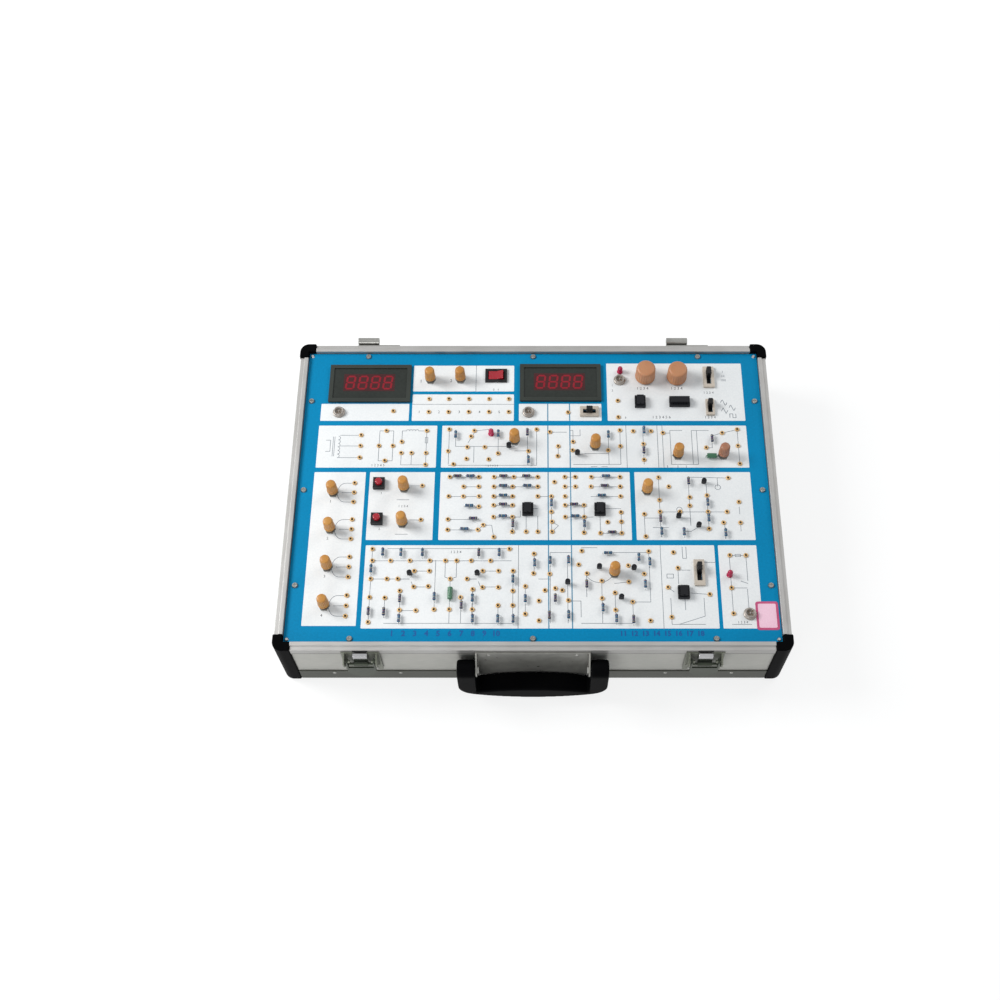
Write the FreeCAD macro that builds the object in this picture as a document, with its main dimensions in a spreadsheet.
# Analog electronics trainer: a shallow case with a panel of knobs, meters and test sockets.
# Lengths are in millimetres. X runs to the right, Y to the rear and Z up from the table.

import os
import re

import FreeCAD
import Part
import Sketcher

from FreeCAD import Placement, Rotation, Vector

doc = FreeCAD.newDocument("ElectronicsTrainer")

# Driving sizes

SIZES = {
    # case, measured over the corner guards
    "case_length": 470,
    "case_depth": 330,
    "case_height": 75,
    "foot_height": 3,
    "foot_radius": 8,
    "foot_low_radius": 6.8,
    "foot_inset": 34,
    "guard_proud": 1,
    "guard_leg": 16,
    "guard_rise": 0.6,
    "rail_width": 8,
    "rail_sheet": 1.2,
    "top_rail_height": 10,
    "rim_lip": 1.5,
    "rim_lip_width": 4,
    "rim_web": 1.5,
    "bottom_rail_height": 19,
    "bottom_rail_shelf": 14,
    "floor_thickness": 4,
    "hinge_reach": 8,
    "handle_reach": 19,
    # panel
    "panel_thickness": 2,
    "panel_recess": 4,
    "panel_gap": 0.5,
    "batten": 12,
    "screw_inset_end": 6.5,
    "screw_inset_side": 4,
    "screw_pitch": 166,
    "screw_side_pitch": 99.5,
    "screw_head_radius": 3,
    "screw_head_height": 1.6,
    "screw_radius": 1.4,
    "screw_length": 10,
    "bead_radius": 2,
    "bead_inset": 3.5,
    # sockets and small parts on the panel
    "socket_flange_radius": 2.25,
    "socket_flange_height": 1.2,
    "socket_barrel_radius": 1.6,
    "socket_bore_radius": 1,
    "socket_depth": 6,
    "resistor_radius": 1.5,
    "resistor_length": 8,
    "resistor_lift": 3.2,
    "lead_radius": 0.3,
    "lead_run": 0.9,
    "transistor_radius": 2.4,
    "transistor_height": 5,
    "transistor_lift": 2.5,
    "transistor_pitch": 1.27,
    "axial_radius": 2.4,
    "choke_length": 11,
    "diode_length": 9,
    "chip_pitch": 2.54,
    "chip_width": 6.6,
    "chip_height": 3.2,
    "chip_notch_radius": 0.8,
    "chip_leg": 0.9,
    "chip_leg_reach": 4.2,
    "chip_holder_width": 10.6,
    "chip_holder_end": 1.2,
    "chip_holder_height": 4,
    "lamp_radius": 2.5,
    "lamp_height": 6.1,
    "lamp_flange": 0.4,
    "lamp_flange_height": 1,
    "jack_radius": 4.8,
    "jack_height": 4,
    "jack_depth": 8,
    "jack_bore_radius": 3.6,
    "jack_pin_radius": 0.7,
    "jack_lug_radius": 0.8,
    "jack_ring_radius": 6,
    "jack_ring_height": 1.5,
    # potentiometers and knobs
    "shaft_radius": 3,
    "bush_radius": 3.5,
    "bush_height": 4.5,
    "pot_radius": 8,
    "pot_height": 8,
    "nut_radius": 5.4,
    "nut_height": 2,
    "knob_radius": 5.25,
    "knob_lift": 5,
    "knob_height": 14,
    "knob_chamfer": 1.2,
    "knob_flute": 0.55,
    "knob_wall": 2.5,
    "knob_mark_width": 1,
    "knob_mark_depth": 0.6,
    "big_knob_radius": 10,
    "big_knob_lift": 1.5,
    "big_knob_height": 16,
    "big_knob_chamfer": 1.5,
    "big_knob_flute": 0.8,
    "big_knob_well_radius": 6.4,
    "big_knob_well": 3.6,
    # meters
    "meter_length": 81,
    "meter_depth": 43,
    "meter_thickness": 2.5,
    "meter_lip": 3.5,
    "meter_module_height": 18,
    # slide switches, rocker and push buttons
    "slider_frame_height": 2.5,
    "slider_height": 9,
    "slider_stem": 4,
    "slider_play": 0.2,
    "slider_rib": 0.9,
    "slider_rib_proud": 0.4,
    "slider_body_height": 8,
    "rocker_length": 21.8,
    "rocker_depth": 15.2,
    "rocker_bezel_height": 2,
    "rocker_bezel_rim": 2.6,
    "rocker_body_height": 12,
    "rocker_play": 0.3,
    "rocker_pin_radius": 1,
    "rocker_pivot_rise": 0.3,
    "rocker_angle": 20,
    "button_base": 11,
    "button_base_height": 5,
    "button_seat_drop": 0.9,
    "button_radius": 3.5,
    "button_height": 4.5,
    "button_crown": 0.7,
    "button_travel": 3,
    "button_play": 0.3,
    # carry handle
    "handle_width": 138,
    "handle_thickness": 17.5,
    "handle_arm": 16.7,
    "handle_drop": 46,
    "handle_bulge": 7,
    "handle_corner": 20,
    "grip_middle": 22,
    "grip_rise": 8,
    "handle_pivot_drop": 20,
    "handle_side_play": 0.3,
    "handle_plate_height": 60,
    "handle_plate_drop": 5,
    "handle_plate_sheet": 1.5,
    "pin_radius": 2.5,
    "pin_length": 14,
    "running_gap": 0.05,
    # latches
    "latch_offset": 156,
    "latch_width": 35,
    "latch_height": 43,
    "latch_drop": 5,
    "latch_sheet": 1,
    "latch_notch": 13,
    "latch_cheek": 1.5,
    "latch_cheek_inside": 14,
    "latch_pivot_reach": 6,
    "latch_pivot_drop": 14,
    "latch_pin_radius": 1.5,
    "lever_width": 26,
    "lever_sheet": 1.5,
    "lever_length": 30,
    "hook_width": 13,
    "hook_arm": 6,
    "hook_pin_radius": 1.2,
    "hook_barrel_wall": 0.8,
    "hook_sheet": 1.2,
    "hook_clearance": 0.4,
    # hinge halves on the rear wall
    "hinge_width": 42,
    "hinge_leaf_height": 30,
    "hinge_sheet": 1.2,
    "hinge_barrel_radius": 3.5,
    "hinge_bore_radius": 1.5,
    "hinge_drop": 2,
    # things inside
    "post_height": 8,
    "post_radius": 3,
    "board_length": 120,
    "board_depth": 80,
    "board_sheet": 1.6,
    "board_x": 20,
    "board_from_rear": 111,
    "sink_length": 50,
    "sink_depth": 12,
    "sink_height": 20,
    "sink_web": 3,
    "sink_gap": 2.4,
    "sink_pitch": 5,
    "terminal_width": 10,
    "terminal_length": 40,
    "terminal_height": 9,
    "core_length": 50,
    "core_depth": 26,
    "core_height": 42,
    "core_iron": 8,
    "core_from_end": 76,
    "core_from_rear": 106,
    "coil_overhang": 9,
    "coil_clearance": 0.5,
    "core_foot": 10,
    "core_foot_sheet": 2,
    "inlet_length": 30,
    "inlet_height": 23,
    "inlet_depth": 22,
    "inlet_flange": 5,
    "inlet_flange_sheet": 1.2,
    "inlet_wall": 2.5,
    "inlet_pin_width": 2,
    "inlet_pin_height": 4,
    "inlet_pin_shortfall": 4,
    "inlet_x": -80,
    "inlet_z": 40,
}

sheet = doc.addObject("Spreadsheet::Sheet", "Sizes")
for row, (alias, value) in enumerate(SIZES.items(), 1):
    sheet.set(f"A{row}", alias)
    sheet.set(f"B{row}", str(value))
    sheet.setAlias(f"B{row}", alias)
doc.recompute()

# Faces and levels that several pieces share, written in terms of the sheet

RIM = "(foot_height + case_height)"
RAIL_X = "(case_length / 2 - guard_proud)"
RAIL_Y = "(case_depth / 2 - guard_proud)"
INSIDE_X = "(case_length / 2 - guard_proud - rail_width)"
INSIDE_Y = "(case_depth / 2 - guard_proud - rail_width)"
RUN_X = "(case_length - 2 * guard_leg)"
RUN_Y = "(case_depth - 2 * guard_leg)"
BOARD = "(rail_width - 2 * rail_sheet)"
BOARD_LOW = "(foot_height + rail_sheet)"
BOARD_TOP = f"({RIM} - rim_lip - rim_web)"
FLOOR_TOP = "(foot_height + rail_sheet + floor_thickness)"
PANEL_TOP = f"({RIM} - panel_recess)"
PANEL_LOW = f"({RIM} - panel_recess - panel_thickness)"
CASE_MID_Y = "((handle_reach - hinge_reach) / 2)"

# The panel lists below were measured on a panel of this length and depth
LAYOUT_LENGTH = 452
LAYOUT_DEPTH = 312
SPREAD_X = f"({INSIDE_X} / {LAYOUT_LENGTH / 2})"
SPREAD_Y = f"({INSIDE_Y} / {LAYOUT_DEPTH / 2})"


def size(alias):
    return float(sheet.get(alias))


def spread_x(x):
    inside = size("case_length") - 2 * size("guard_proud") - 2 * size("rail_width")
    return x * inside / LAYOUT_LENGTH


def spread_y(y):
    inside = size("case_depth") - 2 * size("guard_proud") - 2 * size("rail_width")
    return y * inside / LAYOUT_DEPTH


# Small helpers: every one takes numbers or expressions in the sheet's words

NODES = []


def cells(text):
    def link(found):
        word = found[0]
        return f"Sizes.{word}" if word in SIZES else word
    return re.sub(r"[a-z_]{2,}", link, str(text))


def bind(item, field, text):
    item.setExpression(field, cells(text))


def shift(item, x=0, y=0, z=0):
    for axis, text in zip("xyz", (x, y, z)):
        bind(item, f"Placement.Base.{axis}", text)
    return item


def box(name, length, depth, height, x=0, y=0, z=0):
    """A block centred on x and y that stands on z."""
    item = doc.addObject("Part::Box", name)
    for field, text in zip(("Length", "Width", "Height"), (length, depth, height)):
        bind(item, field, text)
    return shift(item, f"({x}) - ({length}) / 2", f"({y}) - ({depth}) / 2", z)


AXES = {
    "x": Rotation(Vector(0, 1, 0), 90),
    "y": Rotation(Vector(1, 0, 0), -90),
    "z": Rotation(),
}


def rod(name, radius, length, x=0, y=0, z=0, along="z", angle=360):
    """A round bar that starts at the point and runs along the axis."""
    item = doc.addObject("Part::Cylinder", name)
    bind(item, "Radius", radius)
    bind(item, "Height", length)
    item.Angle = angle
    item.Placement = Placement(Vector(), AXES[along])
    return shift(item, x, y, z)


def cone(name, low_radius, top_radius, height, x=0, y=0, z=0):
    item = doc.addObject("Part::Cone", name)
    bind(item, "Radius1", low_radius)
    bind(item, "Radius2", top_radius)
    bind(item, "Height", height)
    return shift(item, x, y, z)


def group(name, *items):
    result = doc.addObject("Part::Compound", name)
    result.Links = list(items)
    return result


def join(name, *items):
    result = doc.addObject("Part::MultiFuse", name)
    result.Shapes = list(items)
    result.Refine = True
    return result


def cut(name, base, *tools):
    result = doc.addObject("Part::Cut", name)
    result.Base = base
    result.Tool = tools[0] if len(tools) == 1 else group(name + "_tools", *tools)
    return result


def overlap(name, *items):
    result = doc.addObject("Part::MultiCommon", name)
    result.Shapes = list(items)
    return result


def mirror(item, along):
    result = doc.addObject("Part::Mirroring", item.Name + "_over_" + along)
    result.Source = item
    result.Normal = Vector(along == "x", along == "y", 0)
    return result


def copy_at(item, x=0, y=0, z=0):
    result = group(item.Name + "_copy", item)
    return shift(result, x, y, z)


def outline(name, plane, points, owner):
    """A closed sketch whose corners are bound to the sheet."""
    sketch = owner.newObject("Sketcher::SketchObject", name)
    datum = next(item for item in owner.Origin.OriginFeatures if item.Role == plane)
    sketch.AttachmentSupport = [(datum, "")]
    sketch.MapMode = "FlatFace"
    count = len(points)
    starts = [Vector(corner, corner * corner, 0) for corner in range(count)]
    for corner in range(count):
        sketch.addGeometry(Part.LineSegment(starts[corner], starts[(corner + 1) % count]))
    for corner in range(count):
        following = (corner + 1) % count
        sketch.addConstraint(Sketcher.Constraint("Coincident", corner, 2, following, 1))
    for corner, place in enumerate(points):
        start = starts[corner]
        for kind, guess, text in zip(("DistanceX", "DistanceY"), (start.x, start.y), place):
            index = sketch.addConstraint(Sketcher.Constraint(kind, -1, 1, corner, 1, guess))
            bind(sketch, f"Constraints[{index}]", text)
    return sketch


def profile(name, plane, points, length):
    """A body with one outline, padded by half the length to each side of its plane."""
    owner = doc.addObject("PartDesign::Body", name)
    pad = owner.newObject("PartDesign::Pad", name + "_pad")
    pad.Profile = outline(name + "_sketch", plane, points, owner)
    pad.SideType = "Symmetric"
    bind(pad, "Length", length)
    return owner


def turned(name, points):
    """A body turned about the Z axis from half an outline."""
    owner = doc.addObject("PartDesign::Body", name)
    sketch = outline(name + "_sketch", "XZ_Plane", points, owner)
    turn = owner.newObject("PartDesign::Revolution", name + "_turn")
    turn.Profile = sketch
    turn.ReferenceAxis = (sketch, ["V_Axis"])
    turn.Angle = 360
    return owner


def node(label, *items, x=0, y=0, z=0):
    """A finished sub-part: its label names its file."""
    result = group(label, *items)
    result.Label = label
    shift(result, x, f"({y}) + {CASE_MID_Y}", z)
    NODES.append(result)
    return result


def drawn_node(label, shapes, z=PANEL_TOP):
    """A finished sub-part of many like pieces, drawn about the panel's top face."""
    drawn = doc.addObject("Part::Feature", label + "_pieces")
    drawn.Shape = Part.makeCompound(shapes)
    return node(label, drawn, z=z)


def disc(radius, height, x=0, y=0, z=0, along=Vector(0, 0, 1)):
    return Part.makeCylinder(radius, height, Vector(x, y, z), along)


def brick(length, depth, height, x=0, y=0, z=0):
    return Part.makeBox(length, depth, height, Vector(x - length / 2, y - depth / 2, z))


def at(shape, x, y, turn=0):
    moved = shape.copy()
    moved.rotate(Vector(), Vector(0, 0, 1), turn)
    moved.translate(Vector(spread_x(x), spread_y(y), 0))
    return moved


# Case: floor, walls, rails, corner guards and feet

def make_floor():
    board = box("floor_box", f"2 * {INSIDE_X}", f"2 * {INSIDE_Y}", "floor_thickness",
                z=BOARD_LOW)
    node("floor_board", board)


def make_walls():
    height = f"{BOARD_TOP} - {BOARD_LOW}"
    middle_y = f"({RAIL_Y} - rail_width / 2)"
    middle_x = f"({RAIL_X} - rail_width / 2)"
    front = box("front_box", RUN_X, BOARD, height, y=f"-{middle_y}", z=BOARD_LOW)
    rear = box("rear_box", RUN_X, BOARD, height, y=middle_y, z=BOARD_LOW)
    window = box("inlet_window", "inlet_length + 2 * running_gap", "2 * rail_width",
                 "inlet_height + 2 * running_gap", "inlet_x", middle_y,
                 "inlet_z - inlet_height / 2 - running_gap")
    side = box("side_box", BOARD, RUN_Y, height, x=middle_x, z=BOARD_LOW)
    node("front_wall", front)
    node("rear_wall", cut("rear_board", rear, window))
    node("side_walls", side, mirror(side, "x"))


def top_rail_outline(face):
    """The rim in section, from its outer face inwards: two flanges, a web and a raised lip."""
    inner = f"{face} + rail_width"
    low = f"{RIM} - top_rail_height"
    return [
        (face, low),
        (face, f"{RIM} - rim_lip"),
        (f"{inner} - rim_lip_width", f"{RIM} - rim_lip"),
        (f"{inner} - rim_lip_width", RIM),
        (inner, RIM),
        (inner, low),
        (f"{inner} - rail_sheet", low),
        (f"{inner} - rail_sheet", BOARD_TOP),
        (f"{face} + rail_sheet", BOARD_TOP),
        (f"{face} + rail_sheet", low),
    ]


def bottom_rail_outline(face):
    """The lower rail in section: an outer flange and a shelf for the floor."""
    shelf = f"{face} + bottom_rail_shelf"
    top = "foot_height + bottom_rail_height"
    return [
        (face, "foot_height"),
        (shelf, "foot_height"),
        (shelf, BOARD_LOW),
        (f"{face} + rail_sheet", BOARD_LOW),
        (f"{face} + rail_sheet", top),
        (face, top),
    ]


def make_rails():
    for label, section in (("top_rails", top_rail_outline), ("bottom_rails", bottom_rail_outline)):
        front = profile(label + "_front", "YZ_Plane", section(f"-{RAIL_Y}"), RUN_X)
        left = profile(label + "_left", "XZ_Plane", section(f"-{RAIL_X}"), RUN_Y)
        node(label, front, mirror(front, "y"), left, mirror(left, "x"))


def make_guards():
    thick = "(guard_proud + rail_width)"
    stub = f"(guard_leg - {thick})"
    height = "case_height + guard_rise"
    leg_x = box("guard_leg_x", stub, thick, height, f"{INSIDE_X} - {stub} / 2",
                f"{INSIDE_Y} + {thick} / 2", "foot_height")
    leg_y = box("guard_leg_y", thick, stub, height, f"{INSIDE_X} + {thick} / 2",
                f"{INSIDE_Y} - {stub} / 2", "foot_height")
    corner = rod("guard_corner", thick, height, INSIDE_X, INSIDE_Y, "foot_height", angle=90)
    guard = join("guard", leg_x, leg_y, corner)
    right = group("right_guards", guard, mirror(guard, "y"))
    node("corner_guards", right, mirror(right, "x"))


def make_feet():
    foot = cone("foot", "foot_low_radius", "foot_radius", BOARD_LOW,
                f"{INSIDE_X} - foot_inset", f"{INSIDE_Y} - foot_inset")
    right = group("right_feet", foot, mirror(foot, "y"))
    node("rubber_feet", right, mirror(right, "x"))


# Carry handle on the front wall

PIVOT_Y = "(handle_thickness / 2 - case_depth / 2 - handle_reach)"
PIVOT_Z = f"({RIM} - handle_pivot_drop)"
ARM_INSIDE = "(handle_width / 2 - handle_arm)"
BRACKET_LENGTH = f"(2 * {ARM_INSIDE} - 2 * handle_side_play)"


def make_handle():
    low = "-handle_drop"
    arm_middle = "(handle_width - handle_arm) / 2"
    sides = box("handle_sides", "handle_width", "handle_thickness", "handle_drop - handle_corner",
                z="handle_corner - handle_drop")
    base = box("handle_base", "handle_width - 2 * handle_corner", "handle_thickness",
               "handle_corner", z=low)
    curve = rod("handle_curve", "handle_corner", "handle_thickness",
                "handle_width / 2 - handle_corner", "-handle_thickness / 2",
                "handle_corner - handle_drop", along="y")
    eye = rod("handle_eye", "handle_thickness / 2", "handle_arm", ARM_INSIDE, along="x")

    # The lower edge is one wide arc that runs smoothly into both corner curves
    middle = "(handle_width / 2 - handle_corner)"
    bow = (f"(({middle} ^ 2 + handle_bulge ^ 2 + 2 * handle_corner * handle_bulge)"
           " / (2 * handle_bulge))")
    lowest = f"({low} - handle_bulge)"
    disc_below = rod("handle_bow", bow, "handle_thickness", 0, "-handle_thickness / 2",
                     f"{lowest} + {bow}", along="y")
    edge = box("handle_bow_ends", f"2 * {middle} * {bow} / ({bow} - handle_corner)",
               "2 * handle_thickness", "handle_corner + handle_bulge", z=lowest)
    belly = overlap("handle_belly", disc_below, edge)
    solid = join("handle_solid", sides, base, curve, mirror(curve, "x"), eye, mirror(eye, "x"),
                 belly)

    arch = f"(({ARM_INSIDE} ^ 2 + grip_rise ^ 2) / (2 * grip_rise))"
    window = box("handle_window", f"2 * {ARM_INSIDE}", "2 * handle_thickness",
                 "2 * handle_drop", z=f"{lowest} + grip_middle - grip_rise")
    rise = rod("grip_arch", arch, "3 * handle_thickness", 0, "-1.5 * handle_thickness",
               f"{lowest} + grip_middle - {arch}", along="y")
    opening = cut("handle_opening", window, rise)
    bore = rod("handle_bore", "pin_radius + running_gap", "pin_length + 0.5",
               f"{ARM_INSIDE} - 0.5", along="x")
    handle = cut("handle_shape", solid, opening, bore, mirror(bore, "x"))
    node("carry_handle", handle, y=PIVOT_Y, z=PIVOT_Z)


def make_handle_plate():
    front = f"(-{RAIL_Y} - handle_plate_sheet / 2)"
    plate = box("handle_plate_sheet_box", BRACKET_LENGTH, "handle_plate_sheet",
                "handle_plate_height", y=front,
                z=f"{RIM} - handle_plate_drop - handle_plate_height")
    face = f"-{RAIL_Y} - handle_plate_sheet"
    nose = f"{PIVOT_Y} - pin_radius * 2.4"
    top = f"{RIM} - handle_plate_drop"
    cheek = profile("handle_cheek_sheet", "YZ_Plane", [
        (face, f"{PIVOT_Z} - pin_radius * 6"),
        (f"{PIVOT_Y} + pin_radius", f"{PIVOT_Z} - pin_radius * 4"),
        (nose, f"{PIVOT_Z} - pin_radius * 1.4"),
        (nose, f"{PIVOT_Z} + pin_radius * 1.4"),
        (f"{PIVOT_Y} + pin_radius", f"{PIVOT_Z} + pin_radius * 3.2"),
        (face, top),
    ], "handle_plate_sheet")
    shift(cheek, f"({BRACKET_LENGTH} - handle_plate_sheet) / 2")
    hole = rod("handle_cheek_hole", "pin_radius + 2 * running_gap", BRACKET_LENGTH,
               0, PIVOT_Y, PIVOT_Z, along="x")
    holed = cut("handle_cheek", cheek, hole)
    node("handle_plate", join("handle_bracket", plate, holed, mirror(holed, "x")))


def make_pivot_pins():
    start = f"({BRACKET_LENGTH} / 2 - handle_plate_sheet)"
    shank = rod("pivot_shank", "pin_radius", f"{ARM_INSIDE} - {start} + pin_length - 0.5",
                start, along="x")
    head = rod("pivot_head", "pin_radius * 1.5", "handle_plate_sheet",
               f"{start} - handle_plate_sheet", along="x")
    pin = join("pivot_pin", shank, head)
    node("pivot_pins", pin, mirror(pin, "x"), y=PIVOT_Y, z=PIVOT_Z)


# Draw latches on the front wall. Their pieces are made about the lever's pivot.

LATCH_Y = f"(-{RAIL_Y} - latch_pivot_reach)"
LATCH_Z = f"({RIM} - latch_pivot_drop)"


def make_latch_plates():
    top = "latch_pivot_drop - latch_drop"
    face = "(latch_pivot_reach - latch_sheet)"
    sheet_box = box("latch_sheet_box", "latch_width", "latch_sheet", "latch_height",
                    y=f"{face} + latch_sheet / 2", z=f"{top} - latch_height")
    notch = box("latch_notch_box", "latch_notch", "3 * latch_sheet", "latch_drop",
                y=face, z=f"{top} - latch_drop")
    plate = cut("latch_back", sheet_box, notch)
    nose = "-3 * latch_pin_radius"
    cheek = profile("latch_cheek_sheet", "YZ_Plane", [
        (face, "latch_drop - latch_height / 2 - latch_pin_radius * 5"),
        ("latch_pin_radius", "-latch_pin_radius * 8"),
        (nose, "-latch_pin_radius * 2"),
        (nose, "latch_pin_radius * 2"),
        ("0", "latch_pin_radius * 3.6"),
        (face, f"{top} - latch_sheet"),
    ], "latch_cheek")
    shift(cheek, "latch_cheek_inside + latch_cheek / 2")
    start = "(hook_width / 2 + 3 * latch_sheet)"
    stub = rod("latch_stub", "latch_pin_radius",
               f"latch_cheek_inside + latch_cheek / 2 - {start}", start, along="x")
    side = join("latch_side", cheek, stub)
    bracket = join("latch_bracket", plate, side, mirror(side, "x"))
    left = copy_at(bracket, x="-latch_offset")
    right = copy_at(bracket, x="latch_offset")
    node("latch_plates", left, right, y=LATCH_Y, z=LATCH_Z)


def make_latch_levers():
    outer = "lever_width / 2"
    front = "2 * lever_sheet"
    arm = profile("lever_arm_sheet", "YZ_Plane", [
        (f"-{front}", "latch_pin_radius * 1.6"),
        (f"-{front}", "-hook_arm * 1.7"),
        ("latch_pin_radius * 1.5", "-hook_arm * 1.7"),
        ("latch_pin_radius * 1.5", "latch_pin_radius * 1.6"),
    ], "lever_sheet")
    shift(arm, f"{outer} - lever_sheet / 2")
    bore = rod("lever_bore", "latch_pin_radius + running_gap", "lever_width", along="x")
    holed = cut("lever_arm", arm, bore)
    straight = f"(lever_length - hook_arm * 1.5 - {outer})"
    tab = box("lever_tab", "lever_width", "lever_sheet", straight,
              y=f"-{front} + lever_sheet / 2", z=f"-hook_arm * 1.5 - {straight}")
    end = rod("lever_end", outer, "lever_sheet", 0, f"-{front}",
              f"-hook_arm * 1.5 - {straight}", along="y", angle=180)
    pin = rod("hook_pin", "hook_pin_radius", f"2 * ({outer} - lever_sheet / 2)",
              f"-({outer} - lever_sheet / 2)", 0, "-hook_arm", along="x")
    lever = join("lever_shape", holed, mirror(holed, "x"), tab, end, pin)
    node("left_latch_lever", lever, x="-latch_offset", y=LATCH_Y, z=LATCH_Z)
    node("right_latch_lever", lever, x="latch_offset", y=LATCH_Y, z=LATCH_Z)


def make_latch_hooks():
    barrel_radius = "(hook_pin_radius + hook_barrel_wall)"
    barrel = rod("hook_barrel", barrel_radius, "hook_width", "-hook_width / 2", along="x")
    back = f"({barrel_radius} + hook_sheet / 2)"
    lip = "latch_pivot_reach - latch_sheet - hook_clearance"
    plate = profile("hook_plate", "YZ_Plane", [
        (f"{back} - hook_sheet", "-hook_pin_radius"),
        (back, "-hook_pin_radius"),
        (back, "hook_arm * 2"),
        (lip, "hook_arm * 2.1"),
        (lip, "hook_arm * 2.35"),
        (f"{back} - hook_sheet", "hook_arm * 2.35"),
    ], "hook_width")
    bore = rod("hook_bore", "hook_pin_radius + running_gap", "2 * hook_width", "-hook_width",
               along="x")
    hook = cut("hook_shape", join("hook_solid", barrel, plate), bore)
    for side, x in (("left", "-latch_offset"), ("right", "latch_offset")):
        node(side + "_latch_hook", hook, x=x, y=LATCH_Y, z=f"{LATCH_Z} - hook_arm")


# Hinge halves and the mains inlet on the rear wall

def make_hinges():
    leaf = box("hinge_leaf", "hinge_width", "hinge_sheet", "hinge_leaf_height",
               y=f"{RAIL_Y} + hinge_sheet / 2", z=f"{RIM} - hinge_drop - hinge_leaf_height")
    barrel_y = "(case_depth / 2 + hinge_reach - hinge_barrel_radius)"
    barrel_z = f"({RIM} - hinge_drop)"
    reach = f"({barrel_y} - {RAIL_Y})"
    web = box("hinge_web", "hinge_width / 2", reach, "hinge_sheet", "-hinge_width / 4",
              f"{RAIL_Y} + {reach} / 2", f"{barrel_z} - hinge_barrel_radius")
    barrel = rod("hinge_barrel", "hinge_barrel_radius", "hinge_width / 2", "-hinge_width / 2",
                 barrel_y, barrel_z, along="x")
    bore = rod("hinge_bore", "hinge_bore_radius", "2 * hinge_width", "-hinge_width",
               barrel_y, barrel_z, along="x")
    hinge = cut("hinge_half", join("hinge_solid", leaf, web, barrel), bore)
    node("hinge_leaves", copy_at(hinge, x="-latch_offset"), copy_at(hinge, x="latch_offset"))


def make_inlet():
    outside = f"({RAIL_Y} - rail_sheet)"
    body = box("inlet_body", "inlet_length", "inlet_depth", "inlet_height",
               "inlet_x", f"{outside} - inlet_depth / 2", "inlet_z - inlet_height / 2")
    flange = box("inlet_plate", "inlet_length + 2 * inlet_flange", "inlet_flange_sheet",
                 "inlet_height + 2 * inlet_flange", "inlet_x",
                 f"{outside} + inlet_flange_sheet / 2", "inlet_z - inlet_height / 2 - inlet_flange")
    depth = "(inlet_depth - inlet_wall)"
    hollow = box("inlet_hollow", "inlet_length - 2 * inlet_wall",
                 f"{depth} + 2 * inlet_flange_sheet", "inlet_height - 2 * inlet_wall", "inlet_x",
                 f"{outside} + inlet_flange_sheet - {depth} / 2",
                 "inlet_z - inlet_height / 2 + inlet_wall")
    shell = cut("inlet_shell", join("inlet_solid", body, flange), hollow)
    pins = []
    for index, (x, z) in enumerate(((-7, -2), (0, 2), (7, -2)), 1):
        pins.append(box(f"inlet_pin_{index}", "inlet_pin_width", f"{depth} - inlet_pin_shortfall",
                        "inlet_pin_height", f"inlet_x + {x}",
                        f"{outside} - ({depth} + inlet_pin_shortfall) / 2",
                        f"inlet_z - inlet_pin_height / 2 + {z}"))
    node("mains_inlet", join("inlet_shape", shell, *pins))


# Panel layout, from the middle of the panel. Names follow the blocks printed on it.

def along_row(y, *xs):
    return [(x, y) for x in xs]


def along_column(x, *ys):
    return [(x, y) for y in ys]


SMALL_KNOBS = {
    "supply_positive_knob": (-102.5, 124.6),
    "supply_negative_knob": (-72.5, 125),
    "potentiometer_knob_1": (-191, -2.8),
    "potentiometer_knob_2": (-191, -41.8),
    "potentiometer_knob_3": (-191, -80.8),
    "potentiometer_knob_4": (-191, -119.8),
    "source_knob_1": (-123.5, 2),
    "source_knob_2": (-123.5, -35.5),
    "regulator_knob": (-18, 54),
    "bias_knob": (60.5, 48),
    "load_knob": (140.5, 38),
    "oscillator_knob": (184.5, 38),
    "stage_knob": (109, -1),
    "balance_knob": (75.5, -87),
}
BIG_KNOBS = {
    "frequency_knob": (112, 128),
    "amplitude_knob": (143.5, 127),
}
METERS = [(-162.5, 119.5), (27.25, 120.5)]
ROCKER_PLACE = (-37, 129)
BUTTONS = {
    "source_button_1": (-147.5, 6),
    "source_button_2": (-147.5, -32),
}

# Slide switches: middle, frame along x and y, lever along its travel, travel, where it rests
SLIDERS = {
    "range_slider": (175.5, 127, 11, 24, 8, 8, 1),
    "wave_slider": (175, 92, 8.5, 18, 6, 6, 1),
    "meter_slider": (55.5, 87, 18.5, 11, 6, 6, 0),
    "stage_slider": (154, -87, 10, 26, 8, 8, 1),
}

DC_OUTPUT_SOCKETS = [
    *along_row(102, -103, -83.5, -63.5, -43.5, -24),
    *along_row(87, -103, -83.5, -63.5, -43.5, -24),
]
METER_SOCKETS = [(-138, 88), (34.5, 86.5)]
SIGNAL_SOCKETS = [(84, 100), (84, 81)]
RECTIFIER_SOCKETS = [
    *along_column(-168, 60.5, 48.5, 35.5),
    (-143.5, 65.5), (-150, 48.5), (-136.5, 48.5), (-143.5, 32),
    *along_column(-104, 65.5, 40.5, 27.5),
    (-128, 53), (-128, 40.5), (-118, 40.5),
]
REGULATOR_SOCKETS = [
    (-82, 67), (-82.5, 42.5), (-77, 28), (-57.5, 65.5), (-60.5, 59), (-64, 47), (-47, 47),
    (-34, 40), (-43, 33.5), (-64.5, 34), (3.5, 67), (-4.5, 42.5), (16.5, 64), (24.5, 48),
    (24, 37), (39, 53), (38.5, 43.5), (73, 43.5), (85, 66), (85, 48),
]
BRIDGE_SOCKETS = [
    (98, 65), (115.5, 65), (107.5, 50.5), (107.5, 33), (127, 63), (168.5, 46.5), (185, 63),
    (200, 67), (199.5, 48.5), (200, 28.5),
]
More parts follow.
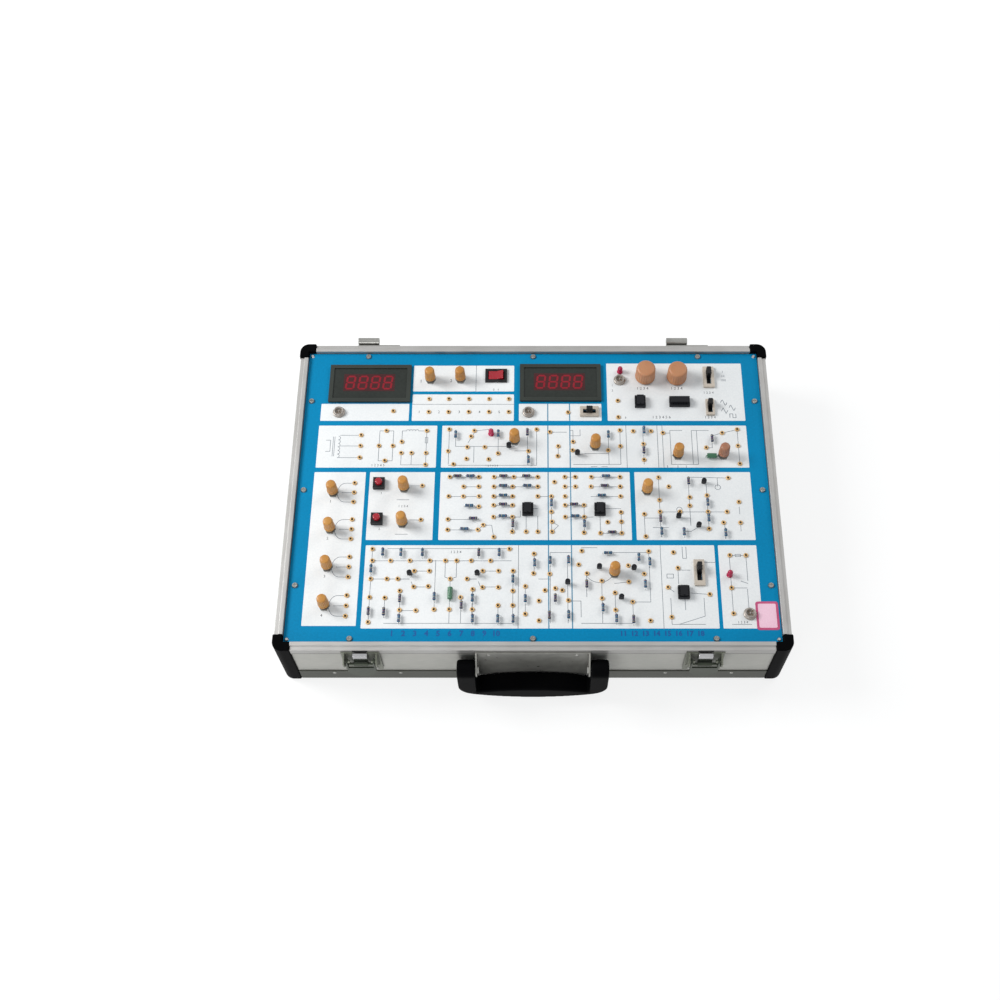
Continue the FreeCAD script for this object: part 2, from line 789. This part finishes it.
POT_COLUMN_SOCKETS = [
    (-171, middle + step)
    for middle in (-2.8, -41.8, -80.8, -119.8)
    for step in (-10.2, 0, 10.2)
]
SOURCE_SOCKETS = [(-106, 4.5), (-106, -32)]
OP_AMP_SOCKETS = [
    *along_row(14, -80, -52, -37.5, -18.5, 4.5, 30.5, 40.5, 56, 83.5),
    (20.5, 8.5),
    *along_row(3.5, -66.5, -52, -37.5, -19.5, 4.5, 30.5, 40.5, 55.5, 83.5),
    *along_row(-7, -80.5, -66.5, -51.5, -37.5, -19.5, 4.5, 17.5, 30.5, 83.5),
    *along_row(-16.5, -37.5, -19.5, 30.5, 48.5),
    (-51.5, -18), (17.5, -23.5), (83.5, -24),
    *along_row(-29, -37.5, -19.5, 30.5, 48.5),
    (-80.5, -31.5), (-47, -37.5), (-80.5, -42.5), (-52, -42.5), (-37, -50), (-19.5, -44.5),
    (-6.5, -44.5), (4.5, -44.5), (18, -34), (18, -44.5), (48, -45.5), (63.5, -46),
    (70.5, -34.5), (83.5, -34), (83.5, -46),
]
STAGE_SOCKETS = [
    (120.5, 13.5), (130, 3.5), (187.5, 13), (120.5, -11), (149.5, -8), (149, -17), (166, -6),
    (196, -13), (120.5, -23.5), (139.5, -23.5), (105.5, -26), (166, -23.5), (184, -23.5),
    (180, -35), (196, -35), (166, -41.5), (106, -49.5),
]
AMPLIFIER_SOCKETS = [
    (-150, -62.5),
    *along_row(-74.5, -149.5, -132.5, -114.5, -96, -81.5, -71, -57.5, -39.5),
    *along_row(-85, -110, -96, -46.5, -32, -18.5),
    *along_row(-93, -150, -135, -125, -76.5, -61),
    (-110, -101), (-96.5, -100.5), (-46.5, -101.5), (-32, -101.5), (-122.5, -105),
    (-18.5, -105), (-55.5, -103.5), (-150, -111.5), (-136, -112), (-66.5, -111.5),
    (-122, -124), (-107, -124.5), (-90.5, -123.5), (-76.5, -123.5), (-55.5, -123.5),
    (-32, -119.5), (-18.5, -119.5), (-150, -136), (-22, -62.5),
]
POWER_STAGE_SOCKETS = [
    (1, -67.5), (0.5, -87.5), (-7, -100.5), (-7, -128), (5.5, -115), (5.5, -134.5),
    (15.5, -88), (20.5, -102.5), (11, -104.5), (27, -104.5), (32.5, -114.5), (45.5, -64.5),
    (42.5, -78.5), (50, -87.5), (63.5, -95), (63.5, -112.5), (75.5, -107), (75.5, -124),
    (108, -65), (88.5, -79.5), (88.5, -96), (103, -88), (91.5, -116), (107, -134.5),
]
TIMER_SOCKETS = [
    (131, -66), (134.5, -82), (124.5, -101.5), (162.5, -108.5), (126.5, -131),
    (183.5, -69), (198.5, -69), (183, -102), (183, -127.5),
]
SOCKETS = [
    *DC_OUTPUT_SOCKETS, *METER_SOCKETS, *SIGNAL_SOCKETS, *RECTIFIER_SOCKETS,
    *REGULATOR_SOCKETS, *BRIDGE_SOCKETS, *POT_COLUMN_SOCKETS, *SOURCE_SOCKETS,
    *OP_AMP_SOCKETS, *STAGE_SOCKETS, *AMPLIFIER_SOCKETS, *POWER_STAGE_SOCKETS, *TIMER_SOCKETS,
]

UPRIGHT_RESISTORS = [
    (-75.5, 60), (-34, 61), (-5.5, 62.5), (-4.5, 32), (73.5, 60), (108.5, 65), (107.5, 42.5),
    (174.5, 55.5), (17.5, -15), (-19, -37), (48.5, -37), (149, 8.5), (166, -14.5),
    (120.5, -31.5), (166, -31), (121, -45), (142, -45.5), (181, -46.5), (-140, -66.5),
    (-123, -67), (-103, -67), (-50.5, -67), (-31.5, -67), (-150, -83.5), (1.5, -77.5),
    (-18.5, -94), (-122, -113.5), (-90.5, -111.5), (-55.5, -113), (-65.5, -120),
    (-150, -126), (-136, -126.5), (-122, -133), (-55, -133), (-32, -133.5), (-18, -133.5),
    (-7, -113.5), (16, -75), (33, -74.5), (20.5, -113), (15, -130), (32.5, -129.5),
    (49.5, -99), (64, -122.5), (76, -133), (98.5, -72), (108.5, -76.5), (103.5, -99),
    (91.5, -134),
]
LEVEL_RESISTORS = [
    *along_row(14, -72.5, -60, -28.5, -6.5, 70),
    *along_row(3.5, -28.5, -5.5, 68.5),
    *along_row(-7, -28.5, 65.5),
    (-60.5, -18), (-28.5, -16.5), (39, -16.5),
    *along_row(-29, -28.5, 40),
    (-56.5, -31.5), (-64.5, -42.5), (74.5, -46), (70, -67.5),
]
TRANSISTORS = [
    (-23.5, 46.5), (43, 38.5), (163.5, 7), (137.5, -30), (156, -39.5), (-114, -89),
    (-51.5, -89), (32, -98), (61.5, -82.5), (93.5, -83.5), (81, -113),
]

# Integrated circuits: middle, then pins along each long side
CHIPS = [
    (106, 98, 4, 90), (-5, -21.5, 4, 90), (63.5, -21.5, 4, 90), (138.5, -107, 4, 90),
    (145, 98, 7, 0),
]
LAMPS = [(-41, 62), (87, 134), (182, -89)]
JACKS = [(-191.5, 86.5), (-4.5, 86.5), (86.5, 124), (198, -128)]
CHOKE = (-76, -108.5)
DIODE = (173, 36)


def screw_places():
    """Places as expressions: the panel's edge rows and side columns follow its size."""
    edge_y = f"({INSIDE_Y} - screw_inset_side)"
    edge_x = f"({INSIDE_X} - screw_inset_end)"
    rows = [(f"{side} * screw_pitch", f"{end} * {edge_y}") for side in (-1, 0, 1) for end in (-1, 1)]
    ends = [(f"{end} * {edge_x}", f"{side} * screw_side_pitch")
            for end in (-1, 1) for side in (-1, 0, 1)]
    return rows + ends


# Control panel, what carries it and what holds it down

def make_panel():
    sheet_box = box("panel_box", f"2 * ({INSIDE_X} - panel_gap)", f"2 * ({INSIDE_Y} - panel_gap)",
                    "panel_thickness", z=PANEL_LOW)
    depth = size("panel_thickness") * 3
    low = -2 * size("panel_thickness")
    play = size("running_gap") * 2
    socket = disc(size("socket_barrel_radius") + play, depth, z=low)
    bush = disc(size("bush_radius") + play, depth, z=low)
    lamp = disc(size("lamp_radius") + play, depth, z=low)
    jack = disc(size("jack_radius") + play, depth, z=low)
    module = brick(size("meter_length") - 2 * size("meter_lip"),
                   size("meter_depth") - 2 * size("meter_lip"), depth, z=low)
    rocker = brick(*[side + play for side in rocker_body_sides()], depth, z=low)
    holes = [at(socket, x, y) for x, y in SOCKETS]
    holes += [at(bush, x, y) for x, y in [*SMALL_KNOBS.values(), *BIG_KNOBS.values()]]
    holes += [at(lamp, x, y) for x, y in LAMPS]
    holes += [at(jack, x, y) for x, y in JACKS]
    holes += [at(module, x, y) for x, y in METERS]
    holes += [at(rocker, *ROCKER_PLACE)]
    for x, y, length, depth_y, lever, travel, rest in SLIDERS.values():
        slot = slider_slot(length, depth_y, lever, travel)
        holes.append(at(brick(*slot, depth, z=low), x, y))
    drawn = doc.addObject("Part::Feature", "panel_openings")
    drawn.Shape = Part.makeCompound(holes)
    openings = shift(group("placed_openings", drawn), z=PANEL_TOP)
    hole = rod("screw_hole", "screw_radius + running_gap", "3 * panel_thickness",
               z=f"{PANEL_LOW} - panel_thickness")
    screws = [copy_at(hole, x, y) for x, y in screw_places()]
    node("control_panel", cut("panel_sheet", sheet_box, openings, *screws))


def make_battens():
    height = "batten"
    low = f"{PANEL_LOW} - batten"
    long_one = box("long_batten", f"2 * {INSIDE_X}", "batten", height,
                   y=f"{INSIDE_Y} - batten / 2", z=low)
    short_one = box("short_batten", "batten", f"2 * ({INSIDE_Y} - batten)", height,
                    f"{INSIDE_X} - batten / 2", z=low)
    pilot = rod("pilot_hole", "screw_radius + running_gap", "screw_length",
                z=f"{PANEL_TOP} - screw_length")
    pilots = group("pilot_holes", *[copy_at(pilot, x, y) for x, y in screw_places()])
    bars = group("batten_bars", long_one, mirror(long_one, "y"), short_one,
                 mirror(short_one, "x"))
    node("panel_battens", cut("batten_frame", bars, pilots))


def make_screws():
    head = cone("screw_head", "screw_head_radius", "screw_head_radius * 0.75",
                "screw_head_height")
    long_side = "screw_head_radius * 1.2"
    short_side = "screw_head_radius * 0.25"
    slot_low = "screw_head_height * 0.6"
    slot = box("screw_slot", long_side, short_side, "screw_head_height", z=slot_low)
    cross = box("screw_cross", short_side, long_side, "screw_head_height", z=slot_low)
    shank = rod("screw_shank", "screw_radius", "screw_length - 0.5", z="0.5 - screw_length")
    screw = cut("screw", join("screw_solid", head, shank), slot, cross)
    node("panel_screws", *[copy_at(screw, x, y) for x, y in screw_places()], z=PANEL_TOP)
    bead = cone("bead", "bead_radius", "bead_radius * 0.6", "bead_radius * 0.5",
                f"{INSIDE_X} - bead_inset", f"{INSIDE_Y} - bead_inset")
    right = group("right_beads", bead, mirror(bead, "y"))
    node("case_rivets", right, mirror(right, "x"), z=PANEL_TOP)


# Small parts on the panel

def make_sockets():
    flange = disc(size("socket_flange_radius"), size("socket_flange_height"))
    barrel = disc(size("socket_barrel_radius"), size("socket_depth"), z=-size("socket_depth"))
    bore = disc(size("socket_bore_radius"), size("socket_depth"),
                z=size("socket_flange_height") - size("socket_depth"))
    socket = flange.fuse(barrel).cut(bore).removeSplitter()
    drawn_node("test_sockets", [at(socket, x, y) for x, y in SOCKETS])


def make_resistors():
    length = size("resistor_length")
    lift = size("resistor_lift")
    reach = length / 2 + size("lead_run")
    body = disc(size("resistor_radius"), length, -length / 2, 0, lift, Vector(1, 0, 0))
    lead = disc(size("lead_radius"), 2 * reach, -reach, 0, lift, Vector(1, 0, 0))
    legs = [disc(size("lead_radius"), lift, x) for x in (-reach, reach)]
    resistor = body.multiFuse([lead, *legs])
    level = [at(resistor, x, y) for x, y in LEVEL_RESISTORS]
    upright = [at(resistor, x, y, 90) for x, y in UPRIGHT_RESISTORS]
    drawn_node("resistors", level + upright)


def make_axial_parts():
    shapes = []
    radius = size("axial_radius")
    lift = radius + size("lead_run")
    for place, length, turn in ((CHOKE, size("choke_length"), 90), (DIODE, size("diode_length"), 0)):
        reach = length / 2 + size("lead_run")
        body = disc(radius, length, -length / 2, 0, lift, Vector(1, 0, 0))
        lead = disc(size("lead_radius"), 2 * reach, -reach, 0, lift, Vector(1, 0, 0))
        legs = [disc(size("lead_radius"), lift, x) for x in (-reach, reach)]
        shapes.append(at(body.multiFuse([lead, *legs]), *place, turn))
    drawn_node("axial_parts", shapes)


def make_transistors():
    radius = size("transistor_radius")
    lift = size("transistor_lift")
    body = disc(radius, size("transistor_height"), z=lift)
    flat = brick(2 * radius, radius, size("transistor_height"), 0, -1.1 * radius, lift)
    pitch = size("transistor_pitch")
    legs = [disc(size("lead_radius"), lift, x) for x in (-pitch, 0, pitch)]
    transistor = body.cut(flat).multiFuse(legs)
    drawn_node("transistors", [at(transistor, x, y) for x, y in TRANSISTORS])


def make_chips():
    """Each circuit sits in a holder. One bar through the body makes a pair of legs."""
    holders = []
    chips = []
    low = size("chip_holder_height")
    high = size("chip_height")
    leg_depth = 2 * size("chip_leg_reach")
    for x, y, pins, turn in CHIPS:
        length = pins * size("chip_pitch")
        holder = brick(length + 2 * size("chip_holder_end"), size("chip_holder_width"), low)
        body = brick(length, size("chip_width"), high, z=low)
        notch = disc(size("chip_notch_radius"), high, -length / 2, 0, low + high * 0.6)
        legs = []
        for pin in range(pins):
            along = (pin - (pins - 1) / 2) * size("chip_pitch")
            legs.append(brick(size("chip_leg"), leg_depth, high / 2, along, 0, low))
        holders.append(at(holder, x, y, turn))
        chips.append(at(body.cut(notch).multiFuse(legs), x, y, turn))
    drawn_node("chip_holders", holders)
    drawn_node("dip_chips", chips)


def make_lamps():
    radius = size("lamp_radius")
    height = size("lamp_height")
    flange = disc(radius + size("lamp_flange"), size("lamp_flange_height"))
    body = disc(radius, height + 2 * size("panel_thickness"), z=-2 * size("panel_thickness"))
    dome = Part.makeSphere(radius, Vector(0, 0, height))
    lamp = body.multiFuse([flange, dome])
    drawn_node("indicator_leds", [at(lamp, x, y) for x, y in LAMPS])


def make_jacks():
    radius = size("jack_radius")
    height = size("jack_height")
    depth = size("jack_depth")
    seat = size("jack_ring_height")
    lug_radius = size("jack_lug_radius")
    barrel = disc(radius, height + depth, z=-depth)
    ring = disc(size("jack_ring_radius"), seat)
    bore = disc(size("jack_bore_radius"), height + depth, z=-depth / 2)
    pin = disc(size("jack_pin_radius"), height, z=-depth / 2)
    lugs = [disc(lug_radius, lug_radius, side * (radius - lug_radius / 4), 0,
                 height - 1.5 * lug_radius, Vector(side, 0, 0)) for side in (-1, 1)]
    jack = barrel.multiFuse([ring, *lugs]).cut(bore).fuse(pin)
    drawn_node("coax_jacks", [at(jack, x, y) for x, y in JACKS])


# Potentiometers under the panel and the knobs on their shafts

def make_potentiometers():
    case = rod("pot_case", "pot_radius", "pot_height", z="-panel_thickness - pot_height")
    bush = rod("pot_bush", "bush_radius", "bush_height + panel_thickness + 1",
               z="-panel_thickness - 1")
    bore = rod("pot_bore", "shaft_radius + running_gap",
               "bush_height + panel_thickness + pot_height",
               z="1 - panel_thickness - pot_height")
    pot = cut("potentiometer", join("pot_solid", case, bush), bore)
    hexagon = doc.addObject("Part::Prism", "nut_hexagon")
    hexagon.Polygon = 6
    bind(hexagon, "Circumradius", "nut_radius")
    bind(hexagon, "Height", "nut_height")
    thread = rod("nut_thread", "bush_radius + running_gap", "2 * nut_height")
    nut = cut("pot_nut", hexagon, thread)
    unit = group("pot_unit", pot, nut)
    places = [*SMALL_KNOBS.values(), *BIG_KNOBS.values()]
    units = [copy_at(unit, f"{x} * {SPREAD_X}", f"{y} * {SPREAD_Y}") for x, y in places]
    node("potentiometers", *units, z=PANEL_TOP)


SMALL_FLUTES = 18
BIG_FLUTES = 24


def knob_outline(radius, height, chamfer):
    """Half a knob, with a hollow for its shaft."""
    shaft = "(shaft_radius + running_gap)"
    return [
        (shaft, "0"),
        (radius, "0"),
        (radius, f"{height} - {chamfer}"),
        (f"{radius} - {chamfer} * 0.6", height),
        ("0", height),
        ("0", f"{height} - knob_wall"),
        (shaft, f"{height} - knob_wall"),
    ]


def fluted(name, body, radius, height, groove, count):
    """The knob with finger flutes cut around its side."""
    flute = rod(name + "_flute", groove, f"{height} - 3 * {groove}", radius, 0, groove)
    flutes = []
    for index in range(count):
        copy = group(f"{name}_flute_{index}", flute)
        copy.Placement = Placement(Vector(), Rotation(Vector(0, 0, 1), 360 * index / count))
        flutes.append(copy)
    mark = box(name + "_mark", "knob_mark_width", radius, "knob_mark_depth", 0,
               f"{radius} / 2", f"{height} - knob_mark_depth")
    return cut(name, body, *flutes, mark)


def make_knobs():
    """A big knob stands lower than a small one: a well in it clears the shaft's nut."""
    kinds = (("knob", SMALL_KNOBS, SMALL_FLUTES), ("big_knob", BIG_KNOBS, BIG_FLUTES))
    for kind, places, count in kinds:
        radius, height = f"{kind}_radius", f"{kind}_height"
        body = turned(kind + "_body", knob_outline(radius, height, f"{kind}_chamfer"))
        knob = fluted(kind + "_fluted", body, radius, height, f"{kind}_flute", count)
        if kind == "big_knob":
            well = rod("big_knob_nut_well", "big_knob_well_radius", "big_knob_well")
            knob = cut("big_knob_hollowed", knob, well)
        foot = f"({kind}_lift + panel_thickness + pot_height - 1.5)"
        shaft = rod(kind + "_shaft", "shaft_radius", f"{foot} + {height} - knob_wall",
                    z=f"-{foot}")
        for label, (x, y) in places.items():
            node(label, knob, shaft, x=f"{x} * {SPREAD_X}", y=f"{y} * {SPREAD_Y}",
                 z=f"{PANEL_TOP} + {kind}_lift")


# Meters, slide switches, rocker and push buttons

def make_meters():
    lip = size("meter_lip")
    window = brick(size("meter_length"), size("meter_depth"), size("meter_thickness"))
    high = size("meter_module_height")
    play = size("running_gap") * 4
    module = brick(size("meter_length") - 2 * lip - play, size("meter_depth") - 2 * lip - play,
                   high, z=-high)
    drawn_node("meter_windows", [at(window, x, y) for x, y in METERS])
    drawn_node("meter_modules", [at(module, x, y) for x, y in METERS])


def slider_slot(length, depth, lever, travel):
    """The slot's sides along x and y: a switch slides along its frame's longer side."""
    across = size("slider_stem") + 2 * size("slider_play")
    along = lever + travel + 2 * size("slider_play")
    return (along, across) if length > depth else (across, along)


def make_sliders():
    frames = []
    high = size("slider_frame_height")
    deep = size("slider_body_height")
    sheet_low = -size("panel_thickness")
    for name, (x, y, length, depth, lever, travel, rest) in SLIDERS.items():
        slot = slider_slot(length, depth, lever, travel)
        frames.append(at(brick(length, depth, high).cut(brick(*slot, high)), x, y))
        frames.append(at(brick(length, depth, deep, z=sheet_low - deep), x, y))
        level = length > depth
        sides = (lever, "slider_stem") if level else ("slider_stem", lever)
        low = "slider_play - panel_thickness"
        stem = box(name + "_stem", *sides, f"slider_height - ({low})", z=low)
        ribs = []
        for step in (-1, 0, 1):
            along = step * lever / 3
            over = "slider_stem + 2 * slider_rib_proud"
            rib = ("slider_rib", over) if level else (over, "slider_rib")
            ribs.append(box(f"{name}_rib_{step + 1}", *rib, "slider_height / 3",
                            along if level else 0, 0 if level else along,
                            "slider_height * 0.62"))
        lever_solid = join(name + "_solid", stem, *ribs)
        node(name, lever_solid, x=f"{x} * {SPREAD_X}",
             y=f"{y} * {SPREAD_Y} + {rest * travel / 2}", z=PANEL_TOP)
    drawn_node("slide_switch_frames", frames)


def rocker_body_sides():
    rim = size("rocker_bezel_rim")
    return size("rocker_length") - rim, size("rocker_depth") - rim


def rocker_housing():
    flange = box("rocker_flange", "rocker_length", "rocker_depth", "rocker_bezel_height")
    body = box("rocker_body", "rocker_length - rocker_bezel_rim",
               "rocker_depth - rocker_bezel_rim", "rocker_body_height", z="-rocker_body_height")
    cavity = box("rocker_cavity", "rocker_length - 2 * rocker_bezel_rim",
                 "rocker_depth - 2 * rocker_bezel_rim",
                 "rocker_body_height / 2 + rocker_bezel_height", z="-rocker_body_height / 2")
    bore = rod("rocker_pin_bore", "rocker_pin_radius + running_gap", "2 * rocker_depth",
               0, "-rocker_depth", "rocker_pivot_rise", along="y")
    housing = cut("rocker_housing", join("rocker_case", flange, body), cavity, bore)
    x, y = ROCKER_PLACE
    return copy_at(housing, f"{x} * {SPREAD_X}", f"{y} * {SPREAD_Y}")


def make_rocker():
    half = "(rocker_length / 2 - rocker_bezel_rim - 3 * rocker_play)"
    crown = "(rocker_bezel_height - rocker_pivot_rise)"
    lamp = profile("rocker_cap", "XZ_Plane", [
        (f"-{half}", crown),
        ("0", crown),
        (f"{half} * cos(rocker_angle)", f"{crown} + {half} * sin(rocker_angle)"),
        (half, "0"),
        (f"{half} * 0.7", f"-{half} * 0.3"),
        (f"-{half} * 0.7", f"-{half} * 0.3"),
        (f"-{half}", "0"),
    ], "rocker_depth - 2 * rocker_bezel_rim - 2 * rocker_play")
    length = "(rocker_depth - rocker_bezel_rim - 2 * running_gap)"
    pin = rod("rocker_pin", "rocker_pin_radius", length, 0, f"-{length} / 2", 0, along="y")
    x, y = ROCKER_PLACE
    node("power_rocker", join("rocker_shape", lamp, pin), x=f"{x} * {SPREAD_X}",
         y=f"{y} * {SPREAD_Y}", z=f"{PANEL_TOP} + rocker_pivot_rise")


def make_buttons():
    seat = "(button_base_height - button_seat_drop)"
    base = box("button_box", "button_base", "button_base", "button_base_height")
    well = rod("button_well", "button_radius + running_gap", "2 * button_base_height",
               z=f"{seat} - button_travel - button_play")
    housing = cut("button_housing", base, well)
    stem = rod("button_stem", "button_radius", "button_height - button_crown")
    crown = cone("button_crown", "button_radius", "button_radius - button_crown", "button_crown",
                 z="button_height - button_crown")
    cap = join("button_cap", stem, crown)
    housings = [rocker_housing()]
    for label, (x, y) in BUTTONS.items():
        place = (f"{x} * {SPREAD_X}", f"{y} * {SPREAD_Y}")
        housings.append(copy_at(housing, *place))
        node(label, cap, x=place[0], y=place[1], z=f"{PANEL_TOP} + {seat}")
    node("switch_housings", *housings, z=PANEL_TOP)


# Things inside the case

# Capacitors on the power board: middle, radius and height
CAPACITORS = [(-42, 20, 9, 24), (-42, -8, 9, 24), (-18, 24, 5, 13), (34, 22, 5, 13)]


def make_power_board():
    board_top = "(post_height + board_sheet)"
    board = box("circuit_board", "board_length", "board_depth", "board_sheet", z="post_height")
    posts = []
    for end in (-1, 1):
        for side in (-1, 1):
            posts.append(rod(f"post_{end + 1}_{side + 1}", "post_radius", "post_height",
                             f"{end} * (board_length / 2 - 2 * post_radius)",
                             f"{side} * (board_depth / 2 - 2 * post_radius)"))
    cans = [rod(f"capacitor_{index}", radius, height, x, y, board_top)
            for index, (x, y, radius, height) in enumerate(CAPACITORS, 1)]
    sink_x, sink_y = 14, "(2 * sink_depth - board_depth / 2 - sink_depth / 2)"
    sink = box("heat_sink", "sink_length", "sink_depth", "sink_height", sink_x, sink_y, board_top)
    fins = [box(f"sink_gap_{index}", "sink_gap", "sink_depth - sink_web", "2 * sink_height",
                f"{sink_x} + {index} * sink_pitch", f"{sink_y} - sink_web / 2", board_top)
            for index in range(-4, 5)]
    cooler = cut("finned_sink", sink, *fins)
    terminals = box("terminal_strip", "terminal_width", "terminal_length", "terminal_height",
                    "(board_length - 1.6 * terminal_width) / 2", 4, board_top)
    node("power_board", board, *posts, *cans, cooler, terminals, x="board_x",
         y=f"{INSIDE_Y} - board_from_rear", z=FLOOR_TOP)


def make_transformer():
    core = box("transformer_core", "core_length", "core_depth", "core_height")
    clear_length = "(core_length - 2 * core_iron)"
    clear_height = "(core_height - 2 * core_iron)"
    window = box("transformer_window", clear_length, "2 * core_depth", clear_height,
                 z="core_iron")
    limb = box("transformer_limb", "2 * core_iron", "core_depth", clear_height, z="core_iron")
    frame = join("transformer_frame", cut("transformer_yoke", core, window), limb)
    coil = box("coil_block", f"{clear_length} - 2 * coil_clearance",
               "core_depth + 2 * coil_overhang", f"{clear_height} - 2 * coil_clearance",
               z="core_iron + coil_clearance")
    inside = box("coil_hollow", "2 * core_iron + 4 * running_gap",
                 "core_depth + 4 * running_gap", "core_height")
    coil_ring = cut("transformer_coil", coil, inside)
    plates = box("transformer_feet", "core_length + 2 * core_foot", "core_depth",
                 "core_foot_sheet", z="-core_foot_sheet")
    node("transformer", frame, coil_ring, plates, x=f"core_from_end - {INSIDE_X}",
         y=f"{INSIDE_Y} - core_from_rear", z=f"{FLOOR_TOP} + core_foot_sheet")


make_floor()
make_walls()
make_rails()
make_guards()
make_feet()
make_handle()
make_handle_plate()
make_pivot_pins()
make_latch_plates()
make_latch_levers()
make_latch_hooks()
make_hinges()
make_inlet()
make_panel()
make_battens()
make_screws()
make_sockets()
make_resistors()
make_axial_parts()
make_transistors()
make_chips()
make_lamps()
make_jacks()
make_potentiometers()
make_knobs()
make_meters()
make_sliders()
make_rocker()
make_buttons()
make_power_board()
make_transformer()
doc.recompute()

for item in doc.Objects:
    if "Invalid" in item.State or "Error" in item.State:
        raise RuntimeError(f"{item.Name} did not rebuild")

os.makedirs("parts", exist_ok=True)
for item in NODES:
    if item.Shape.isNull() or not item.Shape.isValid():
        raise RuntimeError(f"{item.Label} has a fault")
    solids = Part.makeCompound(item.Shape.Solids)
    solids.exportStep(f"parts/{item.Label}.step")
print(len(NODES), "sub-parts")
